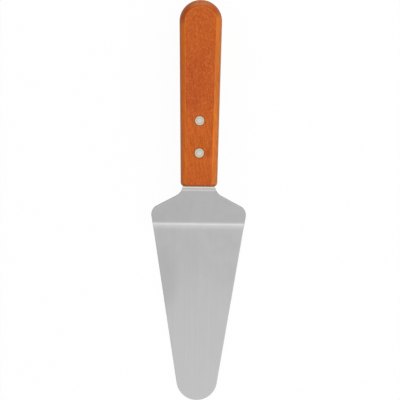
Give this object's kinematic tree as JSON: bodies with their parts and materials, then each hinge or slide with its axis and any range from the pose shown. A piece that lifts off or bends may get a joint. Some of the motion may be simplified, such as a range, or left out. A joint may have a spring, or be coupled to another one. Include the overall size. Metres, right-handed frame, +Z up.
{
  "type": "pizza server",
  "caption": "Cranked steel serving blade with a rounded tip, its tang held in the slot of a tapered wooden handle by flush rivets.",
  "frame": {"origin": "middle of the part's plan, on the level of the blade's flat underside", "axes": "+Y from the blade's tip to the butt of the handle, +Z up from the face that carries the food, +X across the blade"},
  "size_m": [0.0606, 0.256, 0.0214],
  "materials": {
    "blade_steel": "fine brushing along the blade",
    "handle_wood": "reddish stain under satin lacquer",
    "rivet_metal": "satin, with the ring that the setting tool leaves"
  },
  "bodies": {
    "root": {"blade": "blade_steel", "handle": "handle_wood", "front_rivet_sleeve": "rivet_metal", "front_rivet_post": "rivet_metal", "rear_rivet_sleeve": "rivet_metal", "rear_rivet_post": "rivet_metal"}
  },
  "joints": []
}
